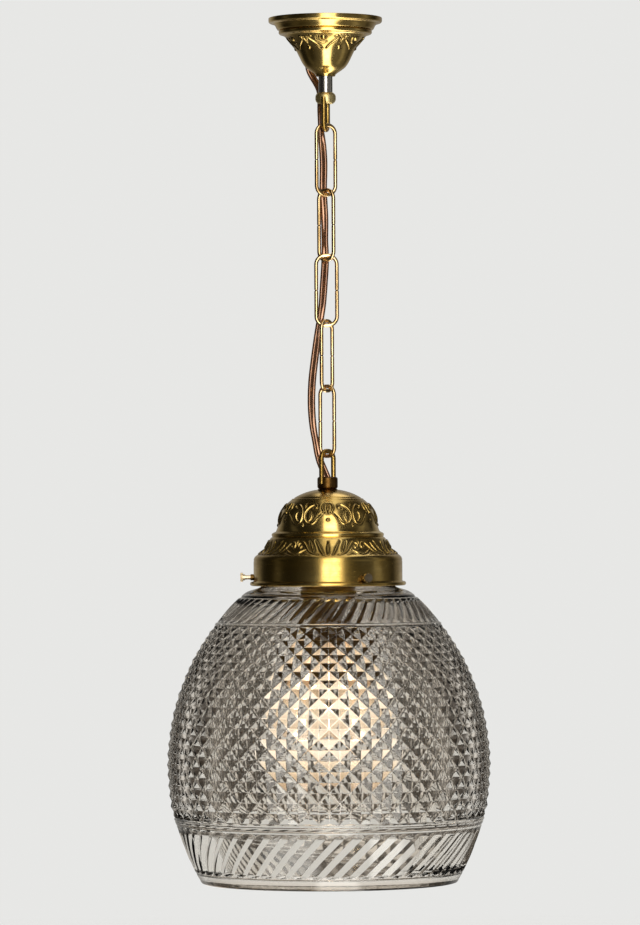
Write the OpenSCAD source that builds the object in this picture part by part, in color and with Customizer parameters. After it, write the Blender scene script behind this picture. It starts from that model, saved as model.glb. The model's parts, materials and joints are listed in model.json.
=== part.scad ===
// Pendant light: ceiling canopy, link chain, embossed gallery and a cut glass shade.
// Millimetres, +Z up. The origin is on the ceiling, at the middle of the canopy's rim.

/* [Canopy] */
// Diameter of the canopy's rim against the ceiling
canopy_d = 81; // [77:0.5:85]
// Thickness of the canopy's sheet brass
canopy_wall = 1; // [0.8:0.1:1.2]
// Distance between the two ceiling screws
bracket_pitch = 50; // [46:1:52]
// Outside of the threaded tubes that carry the load
tube_d = 10; // [9.6:0.1:10]

/* [Chain] */
// Wire of the chain's links
link_wire = 2.8; // [2.4:0.1:3]
// Width of a link over its wire
link_width = 17.6; // [16.8:0.1:18.4]
// Length of a link over its wire
link_length = 52.5; // [52:0.1:53]
// Wire of the two eye rings
ring_wire = 3.5; // [3.2:0.1:3.6]
// Diameter of the round boss that each eye ring grips
boss_d = 14.6; // [14.2:0.1:15]

/* [Gallery] */
// Outside of the plain band that holds the glass
band_d = 106; // [105:0.5:108]
// Thickness of the gallery's sheet brass
gallery_wall = 1.2; // [1:0.1:1.4]
// Shaft of the thumb screws
thumb_d = 3.2; // [3:0.1:3.6]

/* [Glass shade] */
// Widest diameter of the shade over its cut pattern
shade_d = 230.8; // [226:0.2:234]
// Thickness of the glass
glass_wall = 5; // [4:0.5:6]

/* [Lamp] */
// Diameter of the bulb's globe
bulb_d = 60; // [55:1:65]
// Outside of the lampholder's brass shell
holder_d = 40; // [38:0.5:42]

/* [Flex] */
// Width of the flat twin flex
flex_width = 5.6; // [5:0.1:5.8]
// Thickness of the flat twin flex
flex_thick = 2.8; // [2.4:0.1:2.8]

/* [Hidden] */

$fn = 64;
eps = 0.01;
brass = [0.66, 0.5, 0.22];
bright_brass = [0.82, 0.66, 0.34];
steel = [0.72, 0.72, 0.72];
flex_brown = [0.4, 0.22, 0.13];

// Heights along the lamp, from the ceiling down
fit = 0.05;
hang_gap = 0.3;
upper_boss_z = -57.1;
boss_h = 8.5;
boss_round = 1.6;
thread_depth = 3.6;
wire_way_r = 3.3;
leg_r = 6.6;
ring_reach = 22.5;
link_pitch = link_length - 2 * link_wire - hang_gap;
first_hook_z = upper_boss_z - ring_reach;
first_top_z = first_hook_z + (ring_wire + link_wire) / 2 + hang_gap;
function link_top_z(k) = first_top_z - (k - 1) * link_pitch;
function hook_z(k) = k == 1 ? first_hook_z : link_top_z(k - 1) - (link_length - link_wire);
lower_bow_z = hook_z(6) + (ring_wire + link_wire) / 2 + hang_gap;
lower_boss_z = lower_bow_z - ring_reach;
head_z = lower_boss_z - boss_h / 2;

// Which way each ring and link faces, turned about the lamp's axis
upper_ring_turn = 78;
link_turn = [26, -46, 4, 59, -48];
lower_ring_turn = 50;
bow_flat = 2;

// Canopy, bracket and terminal block
canopy_k = canopy_d / 81;
neck_z = -41.5;
bridge_z = -12;
strap_w = 15;
strap_t = 1.6;
bridge_half = 13;
foot_end = bracket_pitch / 2 + 7;
slot_w = 4.5;
slot_l = 9;
ceiling_nipple_top = -3;
flex_hole_at = [-11.8, 13.2, -29];
flex_hole_tilt = 150;
flex_hole_turn = 132;
flex_hole_r = 4.5;
flex_bush_bore = 3.5;
flex_bush_lip = 0.9;

// Gallery, measured down from the gallery's top
dome_r = 35;
dome_h = 24;
band_r = band_d / 2;
band_top = -50.5;
band_end = -65.3;
lip_r = 2.2;
thumb_z = -62.8;
thumb_tip_r = 46.8;
thumb_turn = [-63, 57, 178];
thumb_head_r = 3.3;
thumb_out = 62.4;

// Shade, measured down from the gallery's top
neck_r = 46.5;
neck_lip_r = 49.5;
neck_top = -53.5;
shade_k = shade_d / 230.8;

// Lampholder and bulb, measured down from the gallery's top
holder_top = -55;
holder_r = holder_d / 2;
holder_end = -118.5;
lamp_contact_z = -93;
globe_r = bulb_d / 2;
globe_z = lamp_contact_z - 75;

// Points that the flex passes, chosen by hand: x, y, z and the way that its width faces
flex_route = [
    [-12.2, 11.5, bridge_z, 0], [-12.2, 11.5, -15, 6], [-11.9, 11.3, -18, 16],
    [-11.3, 11.2, -21.5, 30], [-11.2, 11.9, -25.2, 40], [-11.8, 13.2, -29, 42],
    [-12.1, 14.7, -33, 42], [-11, 15.7, -37.2, 40], [-8.8, 15.9, -41.4, 34],
    [-6.2, 15, -45.8, 30], [-4.2, 13.2, -50.2, 26], [-3.4, 11.2, -54.6, 24],
    [-3.3, 9.5, -59.2, 28], [-3.5, 7.8, -64, 38], [-3.6, 6, -69, 52], [-3.6, 4.6, -74, 60],
    [-3.4, 3.8, hook_z(1), 56],
    [-2.8, 4, -86, 34], [-2.1, 4.4, -94, 10], [-1.7, 5, -103, 0], [-1.8, 5.8, -111.5, -8],
    [-2, 6.7, -119, -16], [-1.9, 7.2, hook_z(2), -22],
    [-1.5, 7.1, -133, -24], [-1.1, 6.8, -141.5, -26], [-1, 6.6, -150, -34],
    [-1, 6.5, -158, -44], [-0.9, 6.6, -165.5, -30], [-0.9, 6.4, hook_z(3), -12],
    [-1.2, 5.6, -179, 0], [-1.8, 4.6, -187.5, 0], [-2.4, 4.1, -196, 10],
    [-3.1, 4, -204.5, 24], [-4.2, 4.3, -212.5, 34], [-5.4, 4.5, hook_z(4), 34],
    [-6.5, 4.4, -226.5, 24], [-7.8, 3.9, -236, 10], [-9.2, 3.2, -246.5, 0],
    [-10.4, 2.5, -256.5, 0], [-11, 1.8, hook_z(5), 6],
    [-11.2, 1.2, -274.5, 14], [-10.8, 0.8, -284, 24], [-9.8, 0.5, -293.5, 34],
    [-8.3, 0.2, -302, 38], [-7.2, 0, -308.5, 34], [-6.3, 0, hook_z(6), 26],
    [-5.2, 0, -316, 14], [-3.6, 0, -320, 4], [-1.9, 0, -324, 0], [-0.5, 0, -327.8, 0],
    [0, 0, -331.5, 0], [0, 0, -336, 0], [0, 0, -350, 0], [0, 0, -364, 0], [0, 0, -378, 0],
    [0, 0, -390, 0], [0, 0, -399.9, 0]
];
// Where the route is cut: the bush, the five hooks, the lower ring's hook and its end
flex_cuts = [0, 5, 16, 22, 28, 34, 39, 45, 56];
lead_route = [
    [1.5, 0, -400, 0], [1.5, 0, -402.5, 0], [3.4, 0, -405, 0], [7, 0, -406.2, 0],
    [10, 0, -408.2, 0], [10, 0, -410.9, 0]
];

function arc(centre, r, from, to, n = 8) = [
    for (i = [0:n]) let (a = from + (to - from) * i / n)
        [centre[0] + r * cos(a), centre[1] + r * sin(a)]
];

// A smooth curve through hand-placed points, with n steps between two of them
function between(a, b, c, d, t) =
    ((2 * b) + (c - a) * t + (2 * a - 5 * b + 4 * c - d) * t * t
     + (3 * b - a - 3 * c + d) * t * t * t) / 2;
function smooth(p, n = 4) = [
    for (i = [0:len(p) - 2])
        let (a = p[max(i - 1, 0)], d = p[min(i + 2, len(p) - 1)])
            for (j = [0:n - 1]) between(a, p[i], p[i + 1], d, j / n),
    p[len(p) - 1]
];

function unit(v) = v / norm(v);

// The path moved sideways by t, to the left of its own direction
function inset(p, t) = [
    for (i = [0:len(p) - 1])
        let (way = unit(p[min(i + 1, len(p) - 1)] - p[max(i - 1, 0)]))
            p[i] + t * [-way[1], way[0]]
];

function backwards(p) = [for (i = [len(p) - 1:-1:0]) p[i]];

// A shell of revolution of thickness t, on the left of an outline
module shell(path, t) {
    inner = [for (p = backwards(inset(path, t))) [max(p[0], 0), p[1]]];
    rotate_extrude() polygon(concat(path, inner));
}

module tube(r, bore, low, high) {
    translate([0, 0, low]) difference() {
        cylinder(r = r, h = high - low);
        translate([0, 0, -1]) cylinder(r = bore, h = high - low + 2);
    }
}

module hex_nut(flats, bore, low, high) {
    translate([0, 0, low]) difference() {
        cylinder(d = flats / cos(30), h = high - low, $fn = 6);
        translate([0, 0, -1]) cylinder(r = bore, h = high - low + 2, $fn = 64);
    }
}

// Quarter of a wire ring of radius r, in the X-Z plane, in the +X +Z corner
module bend(r, wire) {
    rotate([90, 0, 0]) rotate_extrude(angle = 90) translate([r, 0]) circle(d = wire);
}

// Round wire bent to a flat-ended bow, its top centreline at z = 0, its legs at x = +-half
module bow(half, wire) {
    r = half - bow_flat / 2;
    translate([-bow_flat / 2, 0, 0]) rotate([0, 90, 0]) cylinder(d = wire, h = bow_flat);
    for (side = [0, 1]) mirror([side, 0, 0]) translate([bow_flat / 2, 0, -r]) bend(r, wire);
}

// A chain link with the brazed joint's groove half way down each leg
module link(k) {
    half = (link_width - link_wire) / 2;
    r = half - bow_flat / 2;
    run = link_length - link_wire;
    groove_r = link_wire / 2 - 0.3;
    color(bright_brass) translate([0, 0, link_top_z(k)]) rotate([0, 0, link_turn[k - 1]])
        difference() {
            union() {
                bow(half, link_wire);
                translate([0, 0, -run]) mirror([0, 0, 1]) bow(half, link_wire);
                for (x = [-half, half])
                    translate([x, 0, r - run]) cylinder(d = link_wire, h = run - 2 * r);
            }
            for (x = [-half, half]) translate([x, 0, -run / 2])
                rotate_extrude() translate([groove_r, -0.5]) square([1, 1]);
        }
}

// The eye ring: a bow whose two legs are let into the boss. It opens towards +Z.
module eye_ring() {
    bow_r = leg_r - bow_flat / 2;
    leg_end = boss_h / 2 - thread_depth - 0.1;
    color(bright_brass) {
        translate([0, 0, -ring_reach]) mirror([0, 0, 1]) bow(leg_r, ring_wire);
        for (x = [-leg_r, leg_r]) translate([x, 0, bow_r - ring_reach])
            cylinder(d = ring_wire, h = ring_reach - bow_r + leg_end);
    }
}

// The boss: threaded at +Z for the tube, with a wire way and two seats for the ring's legs
module boss() {
    half = boss_h / 2;
    r = boss_d / 2;
    side = arc([r - boss_round, half - boss_round], boss_round, 90, 0);
    low = arc([r - boss_round, boss_round - half], boss_round, 0, -90);
    color(brass) difference() {
        rotate_extrude() polygon(concat([[0, half]], side, low, [[0, -half]]));
        translate([0, 0, half - thread_depth]) cylinder(r = tube_d / 2 + fit, h = thread_depth + 1);
        translate([0, 0, -half - 1]) cylinder(r = wire_way_r, h = boss_h + 2);
        translate([0, 0, -half - eps]) cylinder(r1 = 4.5, r2 = wire_way_r, h = 2);
        for (x = [-leg_r, leg_r]) translate([x, 0, -half - 1])
            cylinder(r = ring_wire / 2 + fit, h = boss_h - thread_depth + 1);
    }
}

// Sweeps an eight-sided flat section along a route, from one of its points to another
module run_along(route, from, to, width, thick) {
    sides = 8;
    points = [for (p = route) [p[0], p[1], p[2]]];
    rings = [
        for (i = [from:to])
            let (way = unit(points[min(i + 1, len(route) - 1)] - points[max(i - 1, 0)]),
                 face = [cos(route[i][3]), sin(route[i][3]), 0],
                 wide = unit(face - (face * way) * way),
                 thin = cross(way, wide))
                for (s = [0:sides - 1]) let (a = (s + 0.5) * 360 / sides)
                    points[i] + (wide * cos(a) * width + thin * sin(a) * thick)
                    / 2 / cos(180 / sides)
    ];
    walls = [
        for (i = [0:to - from - 1]) for (s = [0:sides - 1])
            let (a = i * sides + s, b = i * sides + (s + 1) % sides)
                each [[a, a + sides, b + sides], [a, b + sides, b]]
    ];
    first = [for (s = [1:sides - 2]) [0, s, s + 1]];
    end = (to - from) * sides;
    last = [for (s = [1:sides - 2]) [end, end + s + 1, end + s]];
    polyhedron(rings, concat(walls, first, last));
}

// Stretch k of the flex, from one cut to the next
module flex(k) {
    color(flex_brown) run_along(flex_route, flex_cuts[k], flex_cuts[k + 1], flex_width, flex_thick);
}

// Ceiling fixing

module ceiling_bracket() {
    t = strap_t;
    bend_r = 2;
    outline = concat(
        [[-foot_end, -t], [-foot_end, 0]],
        arc([-bridge_half - bend_r + t, -bend_r], bend_r, 90, 0),
        arc([-bridge_half + bend_r + t - 1, bridge_z + 1], 1, 180, 270, 4),
        arc([bridge_half - bend_r - t + 1, bridge_z + 1], 1, 270, 360, 4),
        arc([bridge_half + bend_r - t, -bend_r], bend_r, 180, 90),
        [[foot_end, 0], [foot_end, -t]],
        arc([bridge_half + 1, -t - 0.4], 0.4, 90, 180, 4),
        [[bridge_half, bridge_z - t], [-bridge_half, bridge_z - t]],
        arc([-bridge_half - 1, -t - 0.4], 0.4, 0, 90, 4)
    );
    color(steel) difference() {
        union() {
            translate([0, strap_w / 2, 0]) rotate([90, 0, 0]) linear_extrude(strap_w) polygon(outline);
            translate([-9, strap_w / 2 - eps, bridge_z - t]) cube([18, 12, t]);
            translate([-6, -strap_w / 2 - 10, bridge_z - t]) cube([12, 10 + eps, t]);
        }
        translate([0, 0, bridge_z - 5]) cylinder(r = tube_d / 2 + fit, h = 10);
        translate([0, -12.5, bridge_z - 5]) cylinder(r = 2 + fit, h = 10);
        for (side = [-1, 1]) translate([side * bracket_pitch / 2, 0, -5]) {
            for (x = [-1, 1]) translate([x * (slot_l - slot_w) / 2, 0, 0]) cylinder(d = slot_w, h = 10);
            translate([-(slot_l - slot_w) / 2, -slot_w / 2, 0]) cube([slot_l - slot_w, slot_w, 10]);
        }
    }
}

module bracket_nuts() {
    color(steel) {
        hex_nut(14, tube_d / 2, bridge_z, bridge_z + 4);
        hex_nut(14, tube_d / 2, bridge_z - strap_t - 5.2, bridge_z - strap_t - 1.2);
    }
}

module bracket_washer() {
    color(steel) tube(9, tube_d / 2 + fit, bridge_z - strap_t - 1.2, bridge_z - strap_t);
}

module earth_screw() {
    color(brass) translate([0, -12.5, bridge_z]) {
        difference() {
            cylinder(r = 3.6, h = 2.4);
            translate([-4, -0.5, 1.4]) cube([8, 1, 2]);
        }
        translate([0, 0, -6]) cylinder(r = 2, h = 6 + eps);
    }
}

module terminal_block() {
    color("ivory") difference() {
        translate([-16, 9.5, bridge_z]) cube([24, 9, 8]);
        for (y = [11.8, 16.2]) {
            translate([-17, y, bridge_z + 3.4]) rotate([0, 90, 0]) cylinder(r = 1.4, h = 30);
            for (x = [-8, 3]) translate([x, y, bridge_z + 3.4]) cylinder(r = 1.7, h = 6);
        }
    }
}

module terminal_screws() {
    color(brass) for (x = [-8, 3], y = [11.8, 16.2]) translate([x, y, bridge_z + 4.9]) difference() {
        cylinder(r = 1.6, h = 2.6);
        translate([-2, -0.3, 1.8]) cube([4, 0.6, 1]);
    }
}

module ceiling_nipple() {
    low = upper_boss_z + boss_h / 2 - thread_depth;
    color(steel) tube(tube_d / 2, 3.5, low, ceiling_nipple_top);
}

module upper_boss() { translate([0, 0, upper_boss_z]) rotate([0, 0, upper_ring_turn]) boss(); }

module upper_ring() { translate([0, 0, upper_boss_z]) rotate([0, 0, upper_ring_turn]) eye_ring(); }

// Canopy, from its neck up to the rolled rim against the ceiling

canopy_cone = smooth([
    [11.2, -37.5], [13.6, -35.7], [15.2, -33.9], [16.9, -31.2], [18.9, -27.1],
    [21, -22.9], [23.4, -19.2], [26.2, -15.9], [29, -13.2]
], 2);
canopy_outline = concat(
    [[6.9, neck_z], [7.2, -40.4], [8.6, -39.2]],
    canopy_cone,
    arc([31.8, -10.2], 1.6, 240, 420),
    [[34, -8.4], [34.9, -7.2], [35.7, -5.6], [36.7, -4.4]],
    arc([39.1, -2.2], 1.4, 260, 360, 5),
    [[40.5, 0]]
);

function widened(p) = [for (q = p) [q[0] * canopy_k, q[1]]];

module along_flex_hole(r) {
    translate(flex_hole_at) rotate([0, flex_hole_tilt, flex_hole_turn])
        translate([0, 0, -12]) cylinder(r = r, h = 24);
}

module through_neck(r) {
    translate([0, 4, -39.4]) rotate([-90, 0, 0]) cylinder(r = r, h = 8);
}

module canopy_shell() {
    color(brass) difference() {
        shell(widened(canopy_outline), canopy_wall);
        along_flex_hole(flex_hole_r);
        through_neck(1.6);
    }
}

module canopy_bush() {
    bore = tube_d / 2 + 0.1;
    color(brass) difference() {
        rotate_extrude() polygon([
            [bore, neck_z], [5.75, neck_z], [5.75, -40], [6.9, -38.9], [6.9, -35.5], [bore, -35.5]
        ]);
        through_neck(1.55);
    }
}

module canopy_grub_screw() {
    color(steel) translate([0, tube_d / 2 + 0.15, -39.4]) rotate([-90, 0, 0]) difference() {
        cylinder(r = 1.5, h = 3.6);
        translate([0, 0, 2.2]) cylinder(r = 0.75, h = 3, $fn = 6);
    }
}

// A band of the cone, between two depths under its outside
module cone_band(from, to) {
    cone = widened(canopy_cone);
    rotate_extrude() polygon(concat(inset(cone, from), backwards(inset(cone, to))));
}

module flex_bush() {
    lip = flex_bush_lip;
    color([0.12, 0.1, 0.09]) difference() {
        union() {
            intersection() {
                cone_band(-lip, canopy_wall + lip);
                along_flex_hole(flex_hole_r - fit);
            }
            intersection() {
                union() {
                    cone_band(-lip, -fit);
                    cone_band(canopy_wall + fit, canopy_wall + lip);
                }
                along_flex_hole(flex_hole_r + lip);
            }
        }
        along_flex_hole(flex_bush_bore);
    }
}

module lower_boss() {
    translate([0, 0, lower_boss_z]) rotate([0, 0, lower_ring_turn]) mirror([0, 0, 1]) boss();
}

module lower_ring() {
    translate([0, 0, lower_boss_z]) rotate([0, 0, lower_ring_turn]) mirror([0, 0, 1]) eye_ring();
}

module stem_nipple() {
    high = lower_boss_z - boss_h / 2 + thread_depth;
    color(steel) tube(tube_d / 2, 3.5, head_z - 64, high);
}

// Gallery, from its plain band up over the bead to the dome

module gallery() {
    flare = smooth([[band_r, band_top], [band_r - 0.9, -48.3], [band_r - 3, -46.6], [48.1, -45.3],
                    [46, -43.3], [44.2, -40.8], [42.6, -38], [41.2, -35.6]], 2);
    waist = smooth([[37, -30.3], [36, -27.8], [dome_r, -dome_h]], 2);
    dome = [for (a = [6:6:78]) [dome_r * cos(a), dome_h * (sin(a) - 1)]];
    outline = concat(
        [[band_r, band_end]], flare,
        arc([38.3, -32.8], 1.6, -50, 70), waist, dome, [[6.6, 0], [tube_d / 2 + 0.2, 0]]
    );
    color(brass) translate([0, 0, head_z]) difference() {
        union() {
            shell(outline, gallery_wall);
            rotate_extrude() translate([band_r + 0.4, band_end - 1.4]) circle(r = lip_r);
        }
        for (a = thumb_turn) rotate([0, 0, a]) translate([band_r - 4, 0, thumb_z])
            rotate([0, 90, 0]) cylinder(r = 2.3, h = 8);
    }
}

module gallery_nuts() {
    color(steel) translate([0, 0, head_z]) {
        hex_nut(14, tube_d / 2, -7.7, -3.7);
        hex_nut(14, tube_d / 2, -55, -51);
    }
}

module gallery_washer() {
    color(steel) translate([0, 0, head_z]) tube(9, tube_d / 2 + fit, -3.7, -2.5);
}

module screw_bushes() {
    color(brass) translate([0, 0, head_z]) for (a = thumb_turn)
        rotate([0, 0, a]) translate([0, 0, thumb_z]) rotate([0, 90, 0]) difference() {
            union() {
                translate([0, 0, band_r - 3.7]) cylinder(r = 3.1, h = 1.6);
                translate([0, 0, band_r - 3.7]) cylinder(r = 2.25, h = 5.9);
            }
            translate([0, 0, band_r - 6]) cylinder(r = thumb_d / 2 + fit, h = 12);
        }
}

module thumb_screw(k) {
    head_t = 1.8;
    color(brass) translate([0, 0, head_z]) rotate([0, 0, thumb_turn[k - 1]])
        translate([0, 0, thumb_z]) rotate([0, 90, 0]) {
            translate([0, 0, thumb_tip_r]) cylinder(r1 = thumb_d / 2 - 0.6, r2 = thumb_d / 2, h = 0.8);
            translate([0, 0, thumb_tip_r + 0.8])
                cylinder(d = thumb_d, h = thumb_out - head_t - thumb_tip_r - 0.8);
            translate([0, 0, thumb_out - head_t - 1.4]) cylinder(r = 2.2, h = 1.4);
            translate([0, 0, thumb_out - head_t]) difference() {
                cylinder(r = thumb_head_r, h = head_t);
                for (a = [0:30:330]) rotate([0, 0, a]) translate([thumb_head_r + 0.15, 0, -1])
                    cylinder(r = 0.5, h = head_t + 2, $fn = 16);
            }
        }
}

// Lampholder

module holder_cap() {
    r = holder_r - 0.7;
    bore = tube_d / 2 + fit;
    color(brass) translate([0, 0, head_z]) rotate_extrude() polygon(concat(
        [[bore, holder_top], [7.6, holder_top], [7.6, -58.6]],
        smooth([[9, -60.2], [14.5, -62.2], [r - 0.8, -66], [r, -69]], 3),
        [[r, -77], [r - 1.1, -77], [r - 1.1, -69.4], [r - 2.2, -66.6], [14, -63.6], [9, -62.2], [bore, -62.2]]
    ));
}

module holder_shell() {
    r = holder_r;
    color(brass) translate([0, 0, head_z]) rotate_extrude() polygon([
        [r - 0.65, -72], [r, -72], [r, -110.5], [r - 1.2, -112], [r - 1.2, holder_end],
        [r - 2, holder_end], [r - 2, -111], [r - 0.65, -109.5]
    ]);
}

module holder_skirt_ring() {
    color(brass) translate([0, 0, head_z]) rotate_extrude() polygon(concat(
        [[holder_r - 1.1, -117.6], [holder_r + 0.6, -117.6]],
        arc([holder_r + 0.6, -115], 1.2, -60, 60),
        [[holder_r + 0.6, -112.4], [holder_r - 1.1, -112.4]]
    ));
}

module holder_core() {
    color("ivory") translate([0, 0, head_z]) difference() {
        union() {
            translate([0, 0, -88]) cylinder(r = 17.8, h = 10);
            tube(17.2, 15.2, -110.5, -88);
        }
        for (x = [-10, 10]) translate([x, 0, -84]) cylinder(r = 1.6, h = 8);
        translate([0, 0, -89]) cylinder(r = 1.2, h = 12);
    }
}

module holder_thread() {
    ridge = [for (i = [0:30]) [14.45 + 0.3 * cos(i * 90), -90.5 - i * 0.65]];
    color(brass) translate([0, 0, head_z]) rotate_extrude()
        polygon(concat([[14.9, -88.3]], [for (p = ridge) [p[0] + 0.4, p[1]]],
                       backwards([for (p = ridge) [p[0] - 0.25, p[1]]]), [[11, -89.4], [11, -88.3]]));
}

module holder_contact() {
    color(brass) translate([0, 0, head_z]) {
        translate([0, 0, lamp_contact_z + 0.4]) cylinder(r = 3, h = 1.4);
        translate([-3, -1.5, lamp_contact_z + 1.8]) cube([1, 3, 3.2]);
        translate([-3, -1.5, -88.7]) cube([6, 3, 0.7]);
        translate([0, 0, -88 - eps]) cylinder(r = 1.15, h = 9);
    }
}

module holder_terminals() {
    color(brass) translate([0, 0, head_z]) for (x = [-10, 10]) translate([x, 0, -78]) {
        translate([0, 0, -5]) cylinder(r = 1.55, h = 5 + eps);
        difference() {
            cylinder(r = 3, h = 2.6);
            translate([-4, 1.1, 1.8]) cube([8, 0.6, 2]);
        }
    }
}

module holder_leads() {
    flipped = [for (p = lead_route) [-p[0], p[1], p[2], p[3]]];
    color([0.55, 0.3, 0.2]) {
        for (side = [lead_route, flipped]) run_along(side, 0, len(side) - 1, 2.2, 2.2);
    }
}

// Shade, from its ground rim up to the lip that the thumb screws hold

shade_outline = smooth([
    [92.2, -277.6], [94.9, -272.8], [99.3, -264], [103.4, -254], [107, -244], [109.6, -236.2],
    [111.3, -231], [113, -225], [114.7, -209], [115.4, -193], [114.2, -178], [112, -164],
    [108.8, -151], [104.3, -138], [96.7, -120.8], [86, -103.5], [79.2, -94.9], [72.4, -86.4],
    [66.5, -80.2], [61.3, -75.6], [57.2, -72.8], [52.5, -71.3], [48.6, -70], [neck_r, -67.4],
    [neck_r, -63], [neck_r, -59.6]
], 3);

module glass_shade() {
    spread = [for (p = shade_outline) [p[0] > 60 ? 60 + (p[0] - 60) * shade_k : p[0], p[1]]];
    bore_r = neck_r - glass_wall;
    lip = [[neck_lip_r - 0.7, -58.2], [neck_lip_r, -57.2], [neck_lip_r, -54.4],
           [neck_lip_r - 0.9, neck_top], [bore_r + 1, neck_top], [bore_r, neck_top - 1]];
    rim = [[87.8, -277.8], [88.9, -279.5], [90.1, -280], [91.3, -279.3]];
    color([0.86, 0.84, 0.78, 0.4]) translate([0, 0, head_z]) rotate_extrude()
        polygon(concat(rim, spread, lip, backwards(inset(spread, glass_wall))));
}

// Bulb

module bulb_glass() {
    outline = concat(
        [for (a = [-90:9:36]) [globe_r * cos(a), globe_z + globe_r * sin(a)]],
        smooth([[globe_r * cos(45), globe_z + globe_r * sin(45)], [17.4, -138], [14.9, -130],
                [13.7, -123.5], [12.2, -119.6], [12, -114]], 3)
    );
    color([1, 0.95, 0.8, 0.7]) translate([0, 0, head_z]) shell(outline, 0.8);
}

module bulb_cap() {
    ridge = [for (i = [0:28]) [12.85 + 0.35 * cos(i * 90), -98.6 - i * 0.65]];
    outline = concat([[12.9, -119.4]], backwards(ridge), [[12.4, -97.2], [9.5, -96.2], [8.2, -95.6]]);
    color(steel) translate([0, 0, head_z]) shell(outline, 0.35);
}

module bulb_insulator() {
    color([0.1, 0.1, 0.11]) translate([0, 0, head_z]) rotate_extrude()
        polygon([[0, -97], [7.6, -97], [8, -95.5], [5, -93.9], [0, -93.9]]);
}

module bulb_contact() {
    color(steel) translate([0, 0, head_z - 93.9]) cylinder(r1 = 4.6, r2 = 3.8, h = 0.9);
}

module bulb_stem() {
    outline = smooth([[11, -113.6], [7, -117.5], [4, -122], [3, -128], [2.6, -136], [3, -141]], 3);
    color([0.9, 0.95, 0.95, 0.5]) translate([0, 0, head_z])
        rotate_extrude() polygon(concat([[0, -113.6]], outline, [[0, -141.6]]));
}

module bulb_filament() {
    reach = 13;
    color([1, 0.8, 0.4]) translate([0, 0, head_z - 141]) {
        for (side = [-1, 1]) rotate([0, 0, side * 90]) translate([1.5, 0, -15.4])
            rotate([0, 35, 0]) cylinder(r = 0.35, h = 17);
        for (a = [-60, 0, 60]) rotate([0, 0, a]) translate([0, 0, -15.4])
            rotate([0, 90, 0]) translate([0, 0, -reach / 2]) cylinder(r = 0.5, h = reach);
    }
}

ceiling_bracket();
bracket_nuts();
bracket_washer();
earth_screw();
terminal_block();
terminal_screws();
ceiling_nipple();
upper_boss();
upper_ring();
flex(0);  // flex_tail
flex(1);  // flex_top
canopy_shell();
canopy_bush();
canopy_grub_screw();
flex_bush();
link(1);  // link_1
link(2);  // link_2
link(3);  // link_3
link(4);  // link_4
link(5);  // link_5
flex(2);  // flex_link_1
flex(3);  // flex_link_2
flex(4);  // flex_link_3
flex(5);  // flex_link_4
flex(6);  // flex_link_5
lower_ring();
lower_boss();
flex(7);  // flex_bottom
stem_nipple();
gallery();
gallery_nuts();
gallery_washer();
screw_bushes();
holder_cap();
holder_shell();
holder_skirt_ring();
holder_core();
holder_thread();
holder_contact();
holder_terminals();
holder_leads();
thumb_screw(1);  // thumb_screw_1
thumb_screw(2);  // thumb_screw_2
thumb_screw(3);  // thumb_screw_3
glass_shade();
bulb_glass();
bulb_cap();
bulb_insulator();
bulb_contact();
bulb_stem();
bulb_filament();
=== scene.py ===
# Pendant light: the looks of an old brass and cut glass lamp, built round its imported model.

import json
import math

import bmesh
import bpy
import numpy as np
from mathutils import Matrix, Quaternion, Vector


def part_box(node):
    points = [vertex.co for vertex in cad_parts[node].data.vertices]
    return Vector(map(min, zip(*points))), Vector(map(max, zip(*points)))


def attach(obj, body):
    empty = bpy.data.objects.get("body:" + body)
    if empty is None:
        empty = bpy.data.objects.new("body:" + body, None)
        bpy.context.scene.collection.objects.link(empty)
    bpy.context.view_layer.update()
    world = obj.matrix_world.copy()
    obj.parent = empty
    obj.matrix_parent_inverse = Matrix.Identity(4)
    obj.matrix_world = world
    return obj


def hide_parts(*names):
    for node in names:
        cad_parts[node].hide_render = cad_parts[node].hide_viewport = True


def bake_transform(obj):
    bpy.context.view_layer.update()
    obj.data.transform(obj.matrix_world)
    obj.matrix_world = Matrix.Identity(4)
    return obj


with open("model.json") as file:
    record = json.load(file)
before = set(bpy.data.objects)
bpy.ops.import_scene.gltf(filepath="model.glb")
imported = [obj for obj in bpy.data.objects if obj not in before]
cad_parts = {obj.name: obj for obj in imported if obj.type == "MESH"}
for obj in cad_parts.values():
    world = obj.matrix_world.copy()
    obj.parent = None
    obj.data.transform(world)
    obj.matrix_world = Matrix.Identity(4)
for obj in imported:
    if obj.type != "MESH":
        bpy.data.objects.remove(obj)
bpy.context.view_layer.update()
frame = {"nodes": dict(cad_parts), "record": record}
cadNodes = frame["nodes"]
mm = 0.001
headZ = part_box("gallery")[1].z  # top of the gallery, where the lamp head begins
print("frame loaded with", len(cadNodes), "nodes")

# Camera

camera = {
    "distance": 3.68,  # from the lamp's axis
    "eyeZ": -0.345,
    "aimZ": -0.3168,
    "aside": -0.0053,
    "rollDegrees": -0.29,
    "heightSeen": 0.659,  # height of the picture, measured at the lamp
    "sensor": 36,
}


def addCamera():
    data = bpy.data.cameras.new("camera")
    data.sensor_width = camera["sensor"]
    data.lens = camera["sensor"] * camera["distance"] / camera["heightSeen"]
    eye = bpy.data.objects.new("camera", data)
    eye.location = (camera["aside"], -camera["distance"], camera["eyeZ"])
    aim = Vector((camera["aside"], 0, camera["aimZ"]))
    eye.rotation_mode = "QUATERNION"
    roll = Quaternion((0, 0, 1), math.radians(camera["rollDegrees"]))
    eye.rotation_quaternion = (aim - eye.location).to_track_quat("-Z", "Y") @ roll
    bpy.context.scene.collection.objects.link(eye)
    bpy.context.scene.camera = eye


addCamera()
bpy.context.scene.view_settings.view_transform = "Standard"

# Shader maths


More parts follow.
